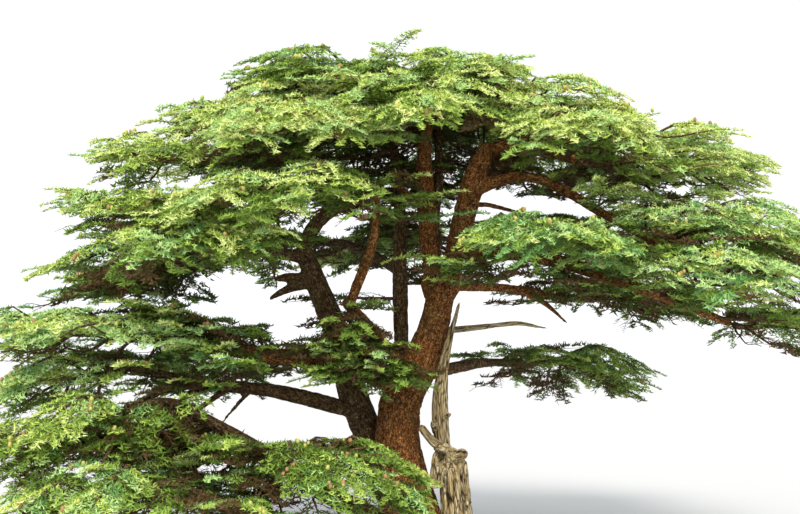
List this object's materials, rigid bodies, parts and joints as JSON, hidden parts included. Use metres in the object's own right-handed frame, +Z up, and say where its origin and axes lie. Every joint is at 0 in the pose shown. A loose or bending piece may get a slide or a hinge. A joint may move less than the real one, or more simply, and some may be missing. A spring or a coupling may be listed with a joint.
{
  "type": "cedar tree",
  "caption": "Old rooted cedar with a leaning forked trunk, long level boughs, a dead stump at its foot and a broad crown of flat tiered plates of foliage.",
  "frame": {"origin": "centre of the flat cut under the trunk, at ground level", "axes": "+Z up the tree, +X to the right of the tree as the picture shows it, +Y to its back"},
  "size_m": [20.7, 16.3569, 13.2813],
  "materials": {
    "bark": "rough orange-brown bark in small flaking plates",
    "bark_shaded": "rough dull brown bark",
    "dead_wood": "bleached, cracked bare wood",
    "foliage_bright": "sunlit yellow-green needles in sprays",
    "foliage_middle": "mid-green needles in sprays",
    "foliage_cool": "blue-green needles in sprays",
    "foliage_dark": "dark green needles in shade"
  },
  "bodies": {
    "root": {"curved_bough_lower": "bark", "curved_bough_upper": "bark", "dead_stem": "dead_wood", "dead_stump": "dead_wood", "foliage_front_left_low": "foliage_middle", "foliage_front_left_skirt": "foliage_bright", "foliage_front_low_tier": "foliage_dark", "foliage_left_bottom_tier": "foliage_middle", "foliage_left_ground_tier": "foliage_middle", "foliage_left_low_tier": "foliage_cool", "foliage_left_lower_tier": "foliage_cool", "foliage_left_tier_high": "foliage_bright", "foliage_left_tier_low": "foliage_cool", "foliage_left_tier_mid": "foliage_bright", "foliage_low_rear_left": "foliage_dark", "foliage_low_rear_right": "foliage_dark", "foliage_rear_left_tier": "foliage_middle", "foliage_rear_middle_tier": "foliage_middle", "foliage_rear_right_tier": "foliage_middle", "foliage_right_front_tier": "foliage_cool", "foliage_right_inner_tier": "foliage_dark", "foliage_right_spread": "foliage_cool", "foliage_right_tier_high": "foliage_bright", "foliage_right_tier_low": "foliage_cool", "foliage_right_tier_lowest": "foliage_dark", "foliage_right_tier_mid": "foliage_bright", "foliage_top_front": "foliage_bright", "foliage_top_left": "foliage_dark", "foliage_top_rear": "foliage_middle", "foliage_top_right": "foliage_bright", "foliage_trunk_tuft": "foliage_dark", "foliage_upper_front_left": "foliage_bright", "foliage_upper_left": "foliage_bright", "foliage_upper_rear_left": "foliage_middle", "foliage_upper_rear_right": "foliage_middle", "foliage_upper_right": "foliage_bright", "foliage_upper_right_front": "foliage_bright", "leaning_left_bough": "bark_shaded", "leaning_stem": "bark_shaded", "leaning_stem_top": "bark_shaded", "left_dark_bough": "bark_shaded", "left_low_bough": "bark_shaded", "left_red_bough": "bark", "left_rising_bough": "bark_shaded", "left_stem": "bark", "left_upper_bough": "bark_shaded", "low_rear_left_bough": "bark_shaded", "low_rear_right_bough": "bark_shaded", "rear_left_bough": "bark_shaded", "rear_middle_bough": "bark_shaded", "rear_right_bough": "bark_shaded", "rear_stem": "bark_shaded", "right_arch_bough": "bark", "right_high_bough": "bark_shaded", "right_low_bough": "bark", "right_red_bough": "bark", "right_stem": "bark", "right_sweep_bough": "bark", "second_stem": "bark_shaded", "trunk": "bark"}
  },
  "joints": []
}
